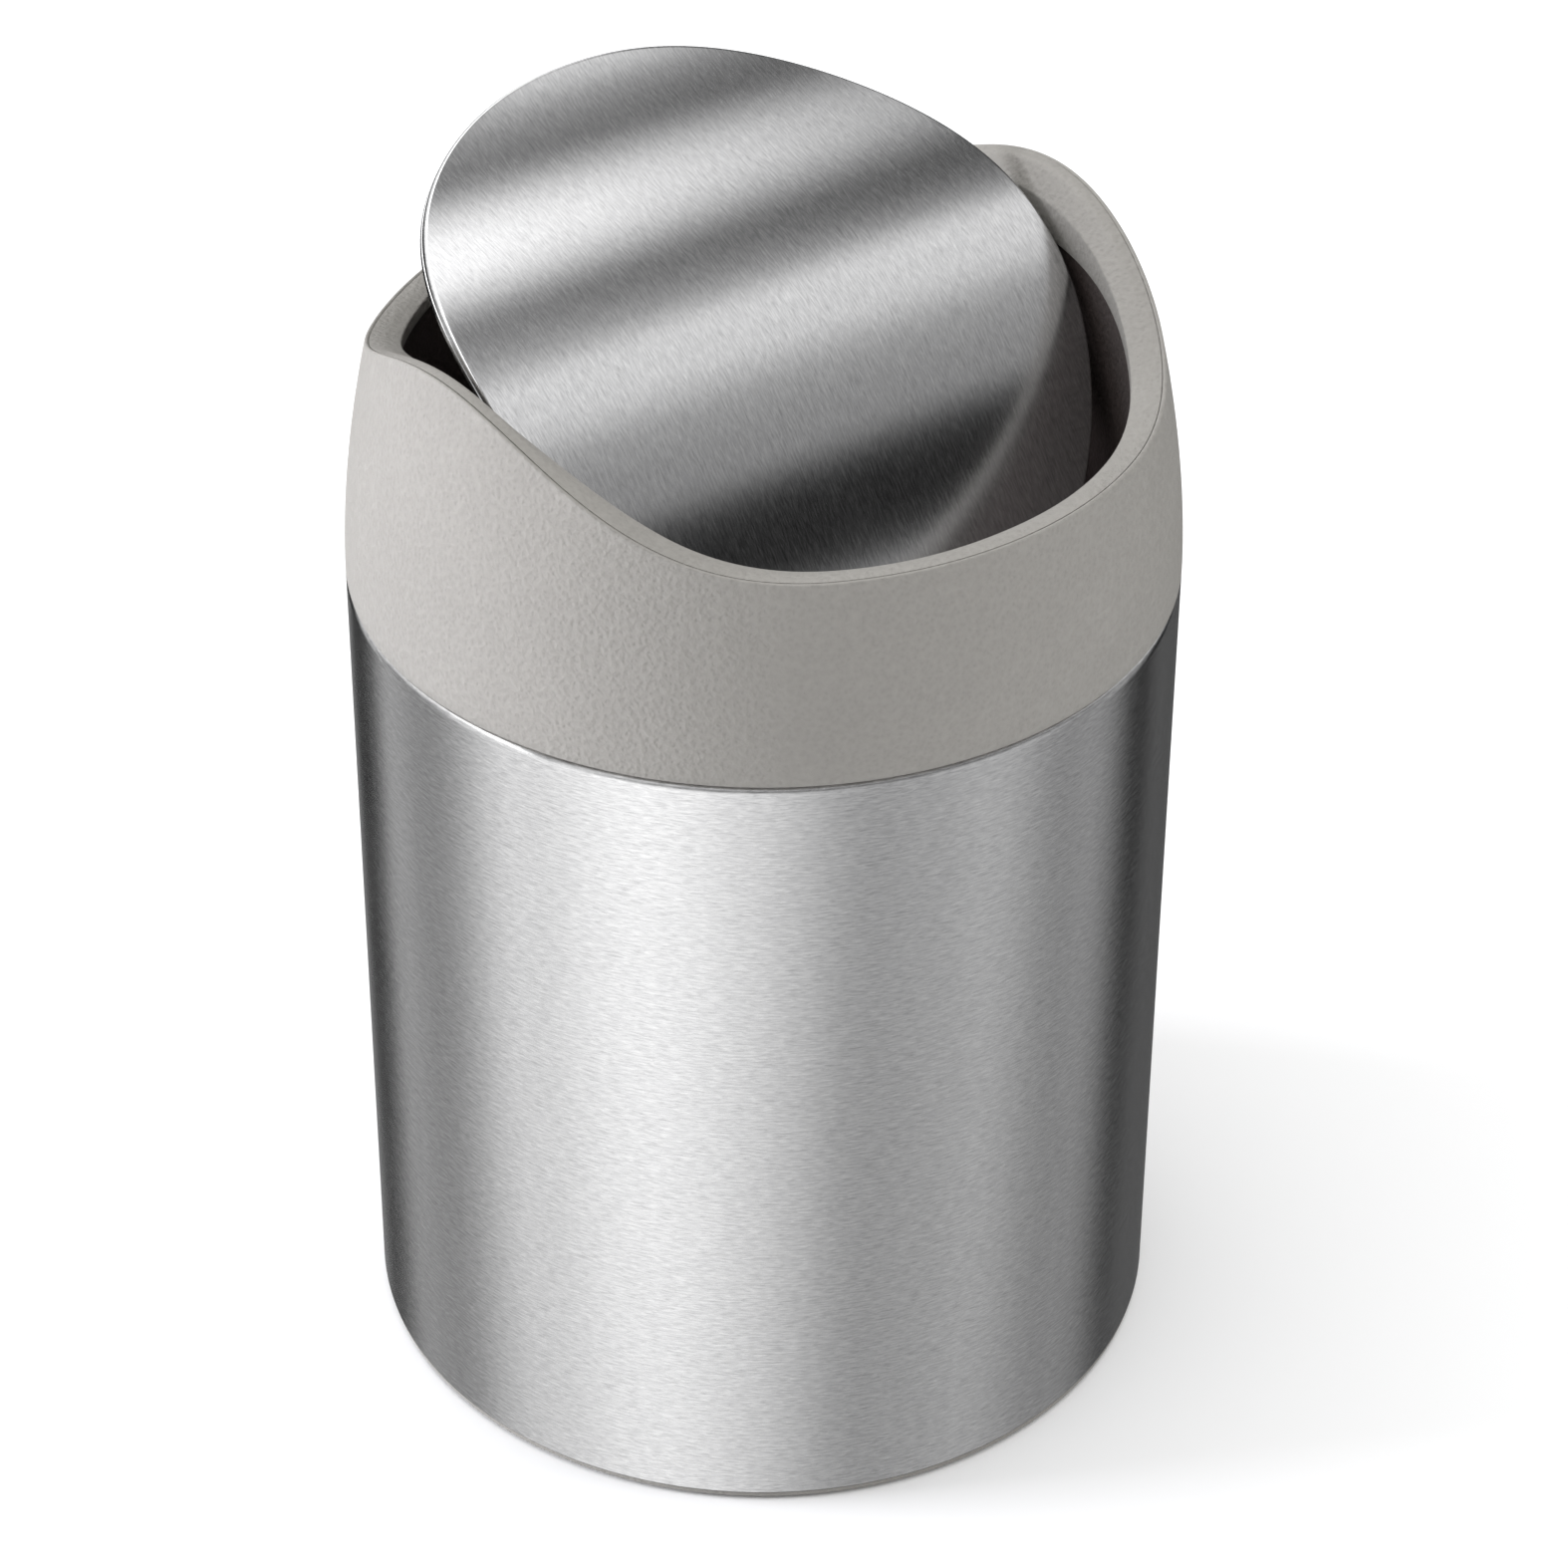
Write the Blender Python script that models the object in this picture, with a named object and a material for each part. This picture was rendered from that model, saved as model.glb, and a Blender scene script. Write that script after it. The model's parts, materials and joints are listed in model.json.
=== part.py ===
"""Small countertop wastebasket: a brushed steel can with a lift-out bucket and a moulded collar that
carries a counterweighted swing lid.

Metres, +Z up. The origin is the centre of the base, on the surface that the can stands on. The pivot
axis of the lid runs along X and the collar's rim dips at the front (-Y) and at the back (+Y). The lid
stands open, its front edge pushed down into the can.
"""

import math

import bmesh
import bpy
from mathutils import Matrix, Vector

MM = 0.001
GAP = 0.3 * MM  # between pieces that touch on the real object
RUNNING = 0.1 * MM  # radial clearance of a pin that turns in its bush
BEVEL = 0.3 * MM
OVERCUT = 1.0 * MM  # how far a cutter reaches past the wall that it cuts

# Can
BODY_RADIUS = 62.5 * MM
STEEL = 0.6 * MM
SHELL_BOTTOM = 1.6 * MM
SHELL_TOP = 135.65 * MM
SHOULDER_RADIUS = 0.9 * MM
CURL_RADIUS = 60.3 * MM  # inner radius of the curled mouth
CURL_BOTTOM = 132.5 * MM
PAN_TOP = 3.4 * MM
PAN_BOTTOM = 0.6 * MM
PAN_SKIRT_TOP = 9.0 * MM
PAN_SKIRT = 1.6 * MM
FOOT_INNER = 50.0 * MM
FOOT_OUTER = 56.0 * MM
FOOT_TOP = 1.6 * MM

# Bucket
BUCKET_BOTTOM = PAN_TOP + GAP
BUCKET_TOP = 127.5 * MM
BUCKET_FOOT_RADIUS = 55.3 * MM
BUCKET_MOUTH_RADIUS = 58.2 * MM
BUCKET_WALL = 1.4 * MM
BUCKET_RIM = 1.2 * MM  # how far the rim stands out
BUCKET_RIM_HEIGHT = 2.0 * MM
BUCKET_CORNER = 3.0 * MM

# Collar: the outer wall leaves the can's surface at the seam and curves inwards
SEAM_Z = 136.0 * MM
WALL_CURVE = 0.191
WALL_POWER = 1.79
WALL = 1.8 * MM
RIM_LOW = 31.2 * MM  # height of the rim above the seam at front and back
RIM_HIGH = 47.2 * MM  # and at the pivots
RIM_REACH = 52.7 * MM  # distance from the pivot axis at which the wave reaches its low
LIP = 0.65 * MM  # the collar's thin upper edge, outside the bezel
REBATE = 1.9 * MM

# Bezel and opening
OPENING_X = 50.3 * MM
OPENING_Y = 54.9 * MM
OPENING_POWER = 2.13  # a superellipse slightly fuller than an ellipse
BAND = 2.5 * MM  # from the rim's edge to the start of the slope
EDGE_DROP_LOW = 0.6 * MM  # depth of the opening's edge below the rim, at front and back
EDGE_DROP_HIGH = 3.8 * MM  # and at the pivots
EDGE_DROP_REACH = 32.0 * MM
LIP_DEPTH_LOW = 2.2 * MM
LIP_DEPTH_HIGH = 5.8 * MM
LIP_DEPTH_REACH = 37.5 * MM
BEZEL_WALL = 1.2 * MM
BAND_DROP = 0.15 * MM  # fall of the band from the rim to the slope

# Pivot ring
RING_RECESS = 0.4 * MM
RING_WALL = 1.6 * MM
FLANGE_BOTTOM = 136.8 * MM
FLANGE_TOP = 138.2 * MM
PLUG_BOTTOM = 129.5 * MM
PLUG_RADIUS = CURL_RADIUS - GAP
PLUG_WALL = 1.2 * MM

# Swing lid, in a frame whose origin is on the pivot axis
PIVOT_Z = 171.0 * MM
OPEN_ANGLE = math.radians(33.5)
LID_X = 49.1 * MM
LID_Y = 54.1 * MM
LID_CREST = 7.4 * MM  # top of the lid above the pivot axis
LID_DROP = 11.9 * MM  # fall of the lid's surface from its crest to its front edge
LID_STEEL = 0.5 * MM
LID_EDGE = 2.2 * MM  # depth of the turned-down edge
LID_ROUND = 0.4 * MM
BACKING = 1.5 * MM
BACKING_EDGE = 1.4 * MM
BACKING_INSET = 0.5 * MM  # how far the backing stands below the steel's turned-down edge

# Pivots
PIN_RADIUS = 1.5 * MM
PIN_INNER = 43.0 * MM
PIN_HEAD_X = 54.9 * MM
PIN_HEAD_RADIUS = 2.2 * MM
PIN_HEAD = 0.6 * MM
BUSH_RADIUS = 2.3 * MM
BUSH_BORE = PIN_RADIUS + RUNNING
BUSH_FLANGE_RADIUS = 3.0 * MM
BUSH_FLANGE_X = 49.6 * MM
BUSH_FLANGE = 0.6 * MM
BUSH_END_X = 54.4 * MM
SOCKET_RADIUS = 3.6 * MM
SOCKET_X = 51.9 * MM
SOCKET_END_X = 54.6 * MM
BOSS_RADIUS = 4.0 * MM
BOSS_INNER_X = 42.5 * MM
BOSS_OUTER_X = 48.2 * MM
WEB_WIDTH = 6.4 * MM  # of the web that carries each boss

# Counterweight, hung below the pivot axis
WEIGHT_RADIUS = 4.0 * MM
WEIGHT_LENGTH = 60.0 * MM
WEIGHT_Z = -7.5 * MM
TROUGH_WALL = 1.4 * MM
TROUGH_CLEARANCE = 0.4 * MM
TAB_X = 36.0 * MM  # the cover's screws
TAB_THICKNESS = 1.6 * MM
TAB_TOP = -3.3 * MM
POST_RADIUS = 3.0 * MM
POST_HOLE_TOP = 3.0 * MM
RIB_SPACING = 20.0 * MM
RIB_THICKNESS = 2.0 * MM

# Screws
SCREW_RADIUS = 1.0 * MM
SCREW_HOLE = SCREW_RADIUS + GAP
SCREW_HEAD_RADIUS = 1.9 * MM
SCREW_HEAD = 1.2 * MM
COLLAR_SCREW_RADIUS = 56.6 * MM  # distance from the can's axis
COLLAR_SCREW_ANGLES = [math.radians(a) for a in (25, 155, 205, 335)]
COLLAR_SCREW_LENGTH = 9.0 * MM
COLLAR_BOSS_RADIUS = 2.2 * MM
COLLAR_BOSS_TOP = 148.0 * MM
COLLAR_RIB = 1.6 * MM
COLLAR_RIB_REACH = (57.8 * MM, 61.0 * MM)  # distances from the can's axis
WEIGHT_SCREW_LENGTH = 6.0 * MM

STEPS = 72  # facets round the can's visible pieces
INNER_STEPS = 48  # facets round its inner pieces
SMALL_STEPS = 16  # facets round a pin or a boss
SCREW_STEPS = 12
SHARP = math.radians(35)  # edges that turn by more than this are shaded sharp
WELD = 1e-7  # metres

SIDES = ((-1, "left"), (1, "right"))
THIN_WALLS = "MANIFOLD"  # EXACT leaves open edges where it cuts these thin swept walls


# ---------------------------------------------------------------- materials


def make_material(name, colour, roughness, metallic=0.0):
    material = bpy.data.materials.new(name)
    material.use_nodes = True
    shader = material.node_tree.nodes["Principled BSDF"]
    shader.inputs["Base Color"].default_value = (*colour, 1.0)
    shader.inputs["Roughness"].default_value = roughness
    shader.inputs["Metallic"].default_value = metallic
    return material


def make_materials():
    return {
        "brushed_steel": make_material("brushed_steel", (0.62, 0.62, 0.62), 0.32, 1.0),
        "grey_plastic": make_material("grey_plastic", (0.40, 0.375, 0.36), 0.55),
        "brown_plastic": make_material("brown_plastic", (0.035, 0.026, 0.024), 0.6),
        "black_rubber": make_material("black_rubber", (0.03, 0.03, 0.03), 0.85),
        "plain_steel": make_material("plain_steel", (0.55, 0.55, 0.56), 0.3, 1.0),
    }


# ---------------------------------------------------------------- building blocks


def ring_object(name, section, steps, material, parent=None):
    """A closed solid swept round Z. section(angle) lists its outline as (radius, z), outer side upwards."""
    mesh = bpy.data.meshes.new(name)
    build = bmesh.new()
    loops = []
    for i in range(steps):
        angle = 2 * math.pi * i / steps
        loops.append([build.verts.new(around(angle, r, z)) for r, z in section(angle)])
    for i, loop in enumerate(loops):
        following = loops[(i + 1) % steps]
        for j in range(len(loop)):
            k = (j + 1) % len(loop)
            build.faces.new((loop[j], following[j], following[k], loop[k]))
    bmesh.ops.remove_doubles(build, verts=build.verts, dist=WELD)
    loose = [edge for edge in build.edges if not edge.link_faces]  # the part of the outline on the axis
    bmesh.ops.delete(build, geom=loose, context="EDGES")
    build.to_mesh(mesh)
    build.free()
    mesh.shade_smooth()
    mesh.set_sharp_from_angle(angle=SHARP)
    return place(bpy.data.objects.new(name, mesh), material, parent)


def place(item, material, parent=None):
    bpy.context.scene.collection.objects.link(item)
    if material:
        item.data.materials.append(material)
    item.parent = parent
    return item


def turned(name, profile, material, steps=STEPS, parent=None):
    """A turned piece: one profile of (radius, z) points, all the way round Z."""
    return ring_object(name, lambda angle: profile, steps, material, parent)


def rod(name, radius, start, end, parent=None, hole=0.0, steps=SMALL_STEPS, material=None):
    """A cylinder, or a tube where hole is given, from one point to another."""
    start, end = Vector(start), Vector(end)
    length = (end - start).length
    profile = [(hole, 0.0), (radius, 0.0), (radius, length), (hole, length)]
    item = turned(name, profile, material, steps, parent)
    item.location = start
    item.rotation_mode = "QUATERNION"
    item.rotation_quaternion = (end - start).to_track_quat("Z", "Y")
    return item


def block(name, low, high, parent=None):
    """A box between two corners."""
    low, high = Vector(low), Vector(high)
    mesh = bpy.data.meshes.new(name)
    build = bmesh.new()
    size = Matrix.Diagonal((*(high - low), 1.0))
    bmesh.ops.create_cube(build, size=1.0, matrix=Matrix.Translation((low + high) / 2) @ size)
    build.to_mesh(mesh)
    build.free()
    return place(bpy.data.objects.new(name, mesh), None, parent)


def combine(item, tool, operation, solver="EXACT"):
    """Joins a tool to an item, or cuts it away; the tool stays as a hidden guide."""
    tool.hide_render = True
    tool.display_type = "WIRE"
    modifier = item.modifiers.new(tool.name, "BOOLEAN")
    modifier.operation = operation
    modifier.solver = solver
    modifier.object = tool


def around(angle, radius, z=0.0):
    """A point at a distance from the can's axis."""
    return Vector((radius * math.cos(angle), radius * math.sin(angle), z))


# ---------------------------------------------------------------- shape of the rim and the lid


def wave(y, low, high, reach):
    """A smooth wave across the pivot axis: high on the axis, low from reach outwards."""
    return low + (high - low) * 0.5 * (1 + math.cos(math.pi * min(abs(y) / reach, 1.0)))


def superellipse(angle, half_x, half_y):
    """Radius of the opening's outline in a direction."""
    x = abs(math.cos(angle)) / half_x
    y = abs(math.sin(angle)) / half_y
    return (x**OPENING_POWER + y**OPENING_POWER) ** (-1 / OPENING_POWER)


def wall_radius(z):
    """Radius of the collar's outer wall."""
    rise = max(z - SEAM_Z, 0.0) / BODY_RADIUS
    return BODY_RADIUS * (1 - WALL_CURVE * rise**WALL_POWER)


def rim_edge(angle):
    """Radius and height of the rim's outer edge, where the wave cuts the collar's wall."""
    radius = BODY_RADIUS
    for _ in range(30):
        height = SEAM_Z + wave(radius * math.sin(angle), RIM_LOW, RIM_HIGH, RIM_REACH)
        radius = wall_radius(height)
    return radius, height


def opening_edge(angle):
    """Radius of the opening, height of its upper edge and height of the lip's lower edge."""
    radius = superellipse(angle, OPENING_X, OPENING_Y)
    y = radius * math.sin(angle)
    top = rim_edge(angle)[1] - wave(y, EDGE_DROP_LOW, EDGE_DROP_HIGH, EDGE_DROP_REACH)
    return radius, top, top - wave(y, LIP_DEPTH_LOW, LIP_DEPTH_HIGH, LIP_DEPTH_REACH)


def lid_height(y):
    """Height of the closed lid's surface above the pivot axis."""
    return wave(y, LID_CREST - LID_DROP, LID_CREST, RIM_REACH)


# ---------------------------------------------------------------- can and bucket


def make_body_shell(steel):
    shoulder = Vector((BODY_RADIUS - SHOULDER_RADIUS, SHELL_TOP - SHOULDER_RADIUS))
    shoulder_steps = 3
    inner = BODY_RADIUS - STEEL
    under = SHELL_TOP - STEEL
    hem = 0.2 * MM  # rounding of the wall's lower edge
    profile = [(inner, SHELL_BOTTOM), (BODY_RADIUS - hem, SHELL_BOTTOM), (BODY_RADIUS, SHELL_BOTTOM + hem)]
    for step in range(shoulder_steps + 1):
        angle = 0.5 * math.pi * step / shoulder_steps
        arc = Vector((math.cos(angle), math.sin(angle))) * SHOULDER_RADIUS
        profile.append(tuple(shoulder + arc))
    profile += [
        (CURL_RADIUS + BEVEL, SHELL_TOP),
        (CURL_RADIUS, SHELL_TOP - BEVEL),
        (CURL_RADIUS, CURL_BOTTOM),
        (CURL_RADIUS + STEEL, CURL_BOTTOM),
        (CURL_RADIUS + STEEL, under),
        (inner - BEVEL, under),
        (inner, under - BEVEL),
    ]
    turned("body_shell", profile, steel)


def make_base_pan(plastic):
    skirt = BODY_RADIUS - STEEL - GAP
    lip = BODY_RADIUS - 0.2 * MM  # the pan stands a little inside the wall
    groove_top = FOOT_TOP + GAP
    profile = [
        (0.0, PAN_BOTTOM),
        (FOOT_INNER - GAP, PAN_BOTTOM),
        (FOOT_INNER - GAP, groove_top),
        (FOOT_OUTER + GAP, groove_top),
        (FOOT_OUTER + GAP, PAN_BOTTOM),
        (lip - BEVEL, PAN_BOTTOM),
        (lip, PAN_BOTTOM + BEVEL),
        (lip, SHELL_BOTTOM - GAP),
        (skirt, SHELL_BOTTOM - GAP),
        (skirt, PAN_SKIRT_TOP),
        (skirt - PAN_SKIRT, PAN_SKIRT_TOP),
        (skirt - PAN_SKIRT, PAN_TOP),
        (0.0, PAN_TOP),
    ]
    turned("base_pan", profile, plastic, INNER_STEPS)


def make_foot_ring(rubber):
    profile = [
        (FOOT_INNER, BEVEL),
        (FOOT_INNER + BEVEL, 0.0),
        (FOOT_OUTER - BEVEL, 0.0),
        (FOOT_OUTER, BEVEL),
        (FOOT_OUTER, FOOT_TOP),
        (FOOT_INNER, FOOT_TOP),
    ]
    turned("foot_ring", profile, rubber, INNER_STEPS)


def rounded_corner(radius, z, corner, steps=2):
    """The quarter circle that joins a floor at z to a wall at radius, from the floor up."""
    points = []
    for step in range(steps + 1):
        angle = 0.5 * math.pi * step / steps
        points.append((radius - corner * (1 - math.sin(angle)), z + corner * (1 - math.cos(angle))))
    return points


def make_inner_bucket(plastic):
    rim = BUCKET_MOUTH_RADIUS + BUCKET_RIM
    rim_bottom = BUCKET_TOP - BUCKET_RIM_HEIGHT
    mouth = BUCKET_MOUTH_RADIUS - BUCKET_WALL
    floor = BUCKET_BOTTOM + BUCKET_WALL
    outer_corner = rounded_corner(BUCKET_FOOT_RADIUS, BUCKET_BOTTOM, BUCKET_CORNER)
    inner_corner = rounded_corner(BUCKET_FOOT_RADIUS - BUCKET_WALL, floor, BUCKET_CORNER)
    profile = [
        (0.0, BUCKET_BOTTOM),
        *outer_corner,
        (BUCKET_MOUTH_RADIUS, rim_bottom),
        (rim, rim_bottom),
        (rim, BUCKET_TOP - BEVEL),
        (rim - BEVEL, BUCKET_TOP),
        (mouth + BEVEL, BUCKET_TOP),
        (mouth, BUCKET_TOP - BEVEL),
        *reversed(inner_corner),
        (0.0, floor),
    ]
    turned("inner_bucket", profile, plastic, INNER_STEPS)


# ---------------------------------------------------------------- collar unit


def make_collar_shell(plastic):
    wall_rows = 4

    round_off = 0.15 * MM

    def section(angle):
        radius, top = rim_edge(angle)
        rebate = top - REBATE
        outer_top = top - 2 * round_off
        outline = []
        for row in range(wall_rows + 1):
            z = SEAM_Z + (outer_top - SEAM_Z) * row / wall_rows
            outline.append((wall_radius(z), z))
        outline += [
            (radius - round_off, top),
            (radius - LIP + round_off, top),
            (radius - LIP, top - round_off),
            (radius - LIP, rebate),
        ]
        for row in range(wall_rows, -1, -1):
            z = SEAM_Z + (rebate - SEAM_Z) * row / wall_rows
            outline.append((wall_radius(z) - WALL, z))
        return outline

    shell = ring_object("collar_shell", section, STEPS, plastic)
    bottom = FLANGE_TOP + GAP
    for number, angle in enumerate(COLLAR_SCREW_ANGLES, 1):
        rib = block(
            f"collar_rib_guide_{number}",
            (COLLAR_RIB_REACH[0], -COLLAR_RIB / 2, bottom + GAP),
            (COLLAR_RIB_REACH[1], COLLAR_RIB / 2, COLLAR_BOSS_TOP - OVERCUT),
        )
        rib.rotation_euler.z = angle
        combine(shell, rib, "UNION", THIN_WALLS)
        ends = [around(angle, COLLAR_SCREW_RADIUS, z) for z in (bottom, COLLAR_BOSS_TOP)]
        combine(shell, rod(f"collar_boss_guide_{number}", COLLAR_BOSS_RADIUS, *ends), "UNION", THIN_WALLS)
        heights = (bottom - OVERCUT, COLLAR_BOSS_TOP - OVERCUT)
        ends = [around(angle, COLLAR_SCREW_RADIUS, z) for z in heights]
        combine(shell, rod(f"collar_hole_guide_{number}", SCREW_HOLE, *ends), "DIFFERENCE", THIN_WALLS)


def make_rim_bezel(plastic):
    round_off = 0.2 * MM

    def section(angle):
        rim_radius, rim_top = rim_edge(angle)
        radius, top, bottom = opening_edge(angle)
        outer = rim_radius - LIP - GAP
        band_end = rim_radius - BAND
        band_z = rim_top - BAND_DROP
        return [
            (outer, rim_top - REBATE + GAP),
            (outer, rim_top - round_off),
            (outer - round_off, rim_top),
            (band_end, band_z),
            (radius + round_off, top),
            (radius, top - round_off),
            (radius, bottom),
            (radius + BEZEL_WALL, bottom),
            (radius + BEZEL_WALL, top - BEZEL_WALL),
            (band_end, band_z - BEZEL_WALL),
        ]

    ring_object("rim_bezel", section, STEPS, plastic)


def make_pivot_ring(plastic):
    def section(angle):
        inner = superellipse(angle, OPENING_X + RING_RECESS, OPENING_Y + RING_RECESS)
        outer = inner + RING_WALL
        top = opening_edge(angle)[2] - GAP
        return [
            (inner, top),
            (inner, FLANGE_BOTTOM),
            (PLUG_RADIUS - PLUG_WALL, FLANGE_BOTTOM),
            (PLUG_RADIUS - PLUG_WALL, PLUG_BOTTOM),
            (PLUG_RADIUS - BEVEL, PLUG_BOTTOM),
            (PLUG_RADIUS, PLUG_BOTTOM + BEVEL),
            (PLUG_RADIUS, FLANGE_TOP),
            (outer, FLANGE_TOP),
            (outer, top),
        ]

    ring = ring_object("pivot_ring", section, STEPS, plastic)
    for side, name in SIDES:
        ends = [(side * x, 0, PIVOT_Z) for x in (SOCKET_X, SOCKET_END_X)]
        combine(ring, rod(f"socket_guide_{name}", SOCKET_RADIUS, *ends), "UNION", THIN_WALLS)
        ends = [(side * x, 0, PIVOT_Z) for x in (OPENING_X - OVERCUT, SOCKET_END_X + OVERCUT)]
        bore = rod(f"socket_bore_guide_{name}", BUSH_RADIUS + GAP, *ends)
        combine(ring, bore, "DIFFERENCE", THIN_WALLS)
    for number, angle in enumerate(COLLAR_SCREW_ANGLES, 1):
        heights = (FLANGE_BOTTOM - OVERCUT, FLANGE_TOP + OVERCUT)
        ends = [around(angle, COLLAR_SCREW_RADIUS, z) for z in heights]
        combine(ring, rod(f"ring_hole_guide_{number}", SCREW_HOLE, *ends), "DIFFERENCE", THIN_WALLS)


def make_pivot_bush(side, name, plastic):
    """A flanged sleeve whose flange faces the lid."""
    profile = [
        (BUSH_BORE, 0.0),
        (BUSH_FLANGE_RADIUS, 0.0),
        (BUSH_FLANGE_RADIUS, BUSH_FLANGE),
        (BUSH_RADIUS, BUSH_FLANGE),
        (BUSH_RADIUS, BUSH_END_X - BUSH_FLANGE_X),
        (BUSH_BORE, BUSH_END_X - BUSH_FLANGE_X),
    ]
    bush = turned(f"pivot_bush_{name}", profile, plastic, SMALL_STEPS)
    bush.location = (side * BUSH_FLANGE_X, 0, PIVOT_Z)
    bush.rotation_euler.y = side * math.pi / 2


def make_screw(name, length, steel, location, parent=None):
    """A pan-head screw that points up from its head; the origin is under the head."""
    dome = 0.4 * MM
    recess_radius = 0.8 * MM
    recess_depth = 0.5 * MM
    profile = [
        (0.0, -SCREW_HEAD + recess_depth),
        (recess_radius, -SCREW_HEAD + recess_depth),
        (recess_radius, -SCREW_HEAD),
        (SCREW_HEAD_RADIUS - dome, -SCREW_HEAD),
        (SCREW_HEAD_RADIUS, -SCREW_HEAD + dome),
        (SCREW_HEAD_RADIUS, 0.0),
        (SCREW_RADIUS, 0.0),
        (SCREW_RADIUS, length - SCREW_RADIUS),
        (0.0, length),
    ]
    screw = turned(name, profile, steel, SCREW_STEPS, parent)
    screw.location = location


# ---------------------------------------------------------------- swing lid


def plate_rows(angle, edge, offset, rows=5):
    """Points of a surface parallel to the lid's, from the middle out to a radius."""
    points = []
    for row in range(rows + 1):
        radius = edge * row / rows
        points.append((radius, lid_height(radius * math.sin(angle)) + offset))
    return points


def make_lid_skin(steel, pivot):
    corner = 0.3 * LID_ROUND

    def section(angle):
        edge = superellipse(angle, LID_X, LID_Y)
        inner = edge - LID_STEEL
        z = lid_height(edge * math.sin(angle))
        top = plate_rows(angle, edge - LID_ROUND, 0.0)
        under = plate_rows(angle, inner, -LID_STEEL)
        side = [
            (edge - corner, z - corner),
            (edge, z - LID_ROUND),
            (edge, z - LID_EDGE),
            (inner, z - LID_EDGE),
        ]
        return (top + side + under[::-1])[::-1]

    ring_object("lid_skin", section, STEPS, steel, pivot)


def make_lid_backing(plastic, pivot):
    clear = LID_STEEL + GAP

    def section(angle):
        edge = superellipse(angle, LID_X, LID_Y) - clear
        inner = edge - BACKING_EDGE
        bottom = lid_height(edge * math.sin(angle)) - LID_EDGE - BACKING_INSET
        top = plate_rows(angle, edge, -clear)
        under = plate_rows(angle, inner, -clear - BACKING)
        return (top + [(edge, bottom), (inner, bottom)] + under[::-1])[::-1]

    backing = ring_object("lid_backing", section, INNER_STEPS, plastic, pivot)
    plate = LID_CREST - clear - 0.5 * BACKING  # half-way through the plate, above the pivot axis
    for side, name in SIDES:
        inner, outer = side * BOSS_INNER_X, side * BOSS_OUTER_X
        web = block(
            f"boss_web_guide_{name}",
            (min(inner, outer), -WEB_WIDTH / 2, 0.0),
            (max(inner, outer), WEB_WIDTH / 2, plate),
            pivot,
        )
        boss = rod(f"boss_guide_{name}", BOSS_RADIUS, (inner, 0, 0), (outer, 0, 0), pivot)
        ends = [(inner - side * OVERCUT, 0, 0), (outer + side * OVERCUT, 0, 0)]
        bore = rod(f"boss_bore_guide_{name}", PIN_RADIUS + GAP, *ends, pivot)
        x = side * TAB_X
        post = rod(f"post_guide_{name}", POST_RADIUS, (x, 0, TAB_TOP + GAP), (x, 0, plate), pivot)
        ends = [(x, 0, TAB_TOP - OVERCUT), (x, 0, POST_HOLE_TOP)]
        hole = rod(f"post_hole_guide_{name}", SCREW_HOLE, *ends, pivot)
        for tool in (web, boss, post):
            combine(backing, tool, "UNION", THIN_WALLS)
        for tool in (bore, hole):
            combine(backing, tool, "DIFFERENCE", THIN_WALLS)
    for number in (1, 2, 3):
        x = (number - 2) * RIB_SPACING
        low = (x - RIB_THICKNESS / 2, -WEIGHT_RADIUS, WEIGHT_Z + WEIGHT_RADIUS + GAP)
        high = (x + RIB_THICKNESS / 2, WEIGHT_RADIUS, plate)
        combine(backing, block(f"rib_guide_{number}", low, high, pivot), "UNION", THIN_WALLS)


def make_pivot_pin(side, name, steel, pivot):
    """A headed pin pushed in from outside the pivot ring."""
    length = PIN_HEAD_X - PIN_INNER
    profile = [
        (0.0, 0.0),
        (PIN_RADIUS - BEVEL, 0.0),
        (PIN_RADIUS, BEVEL),
        (PIN_RADIUS, length),
        (PIN_HEAD_RADIUS, length),
        (PIN_HEAD_RADIUS, length + PIN_HEAD),
        (0.0, length + PIN_HEAD),
    ]
    pin = turned(f"pivot_pin_{name}", profile, steel, SMALL_STEPS, pivot)
    pin.location = (side * PIN_INNER, 0, 0)
    pin.rotation_euler.y = side * math.pi / 2


def make_counterweight(steel, pivot):
    half = WEIGHT_LENGTH / 2
    ends = [(-half, 0, WEIGHT_Z), (half, 0, WEIGHT_Z)]
    rod("counterweight", WEIGHT_RADIUS, *ends, pivot, material=steel)


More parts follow.
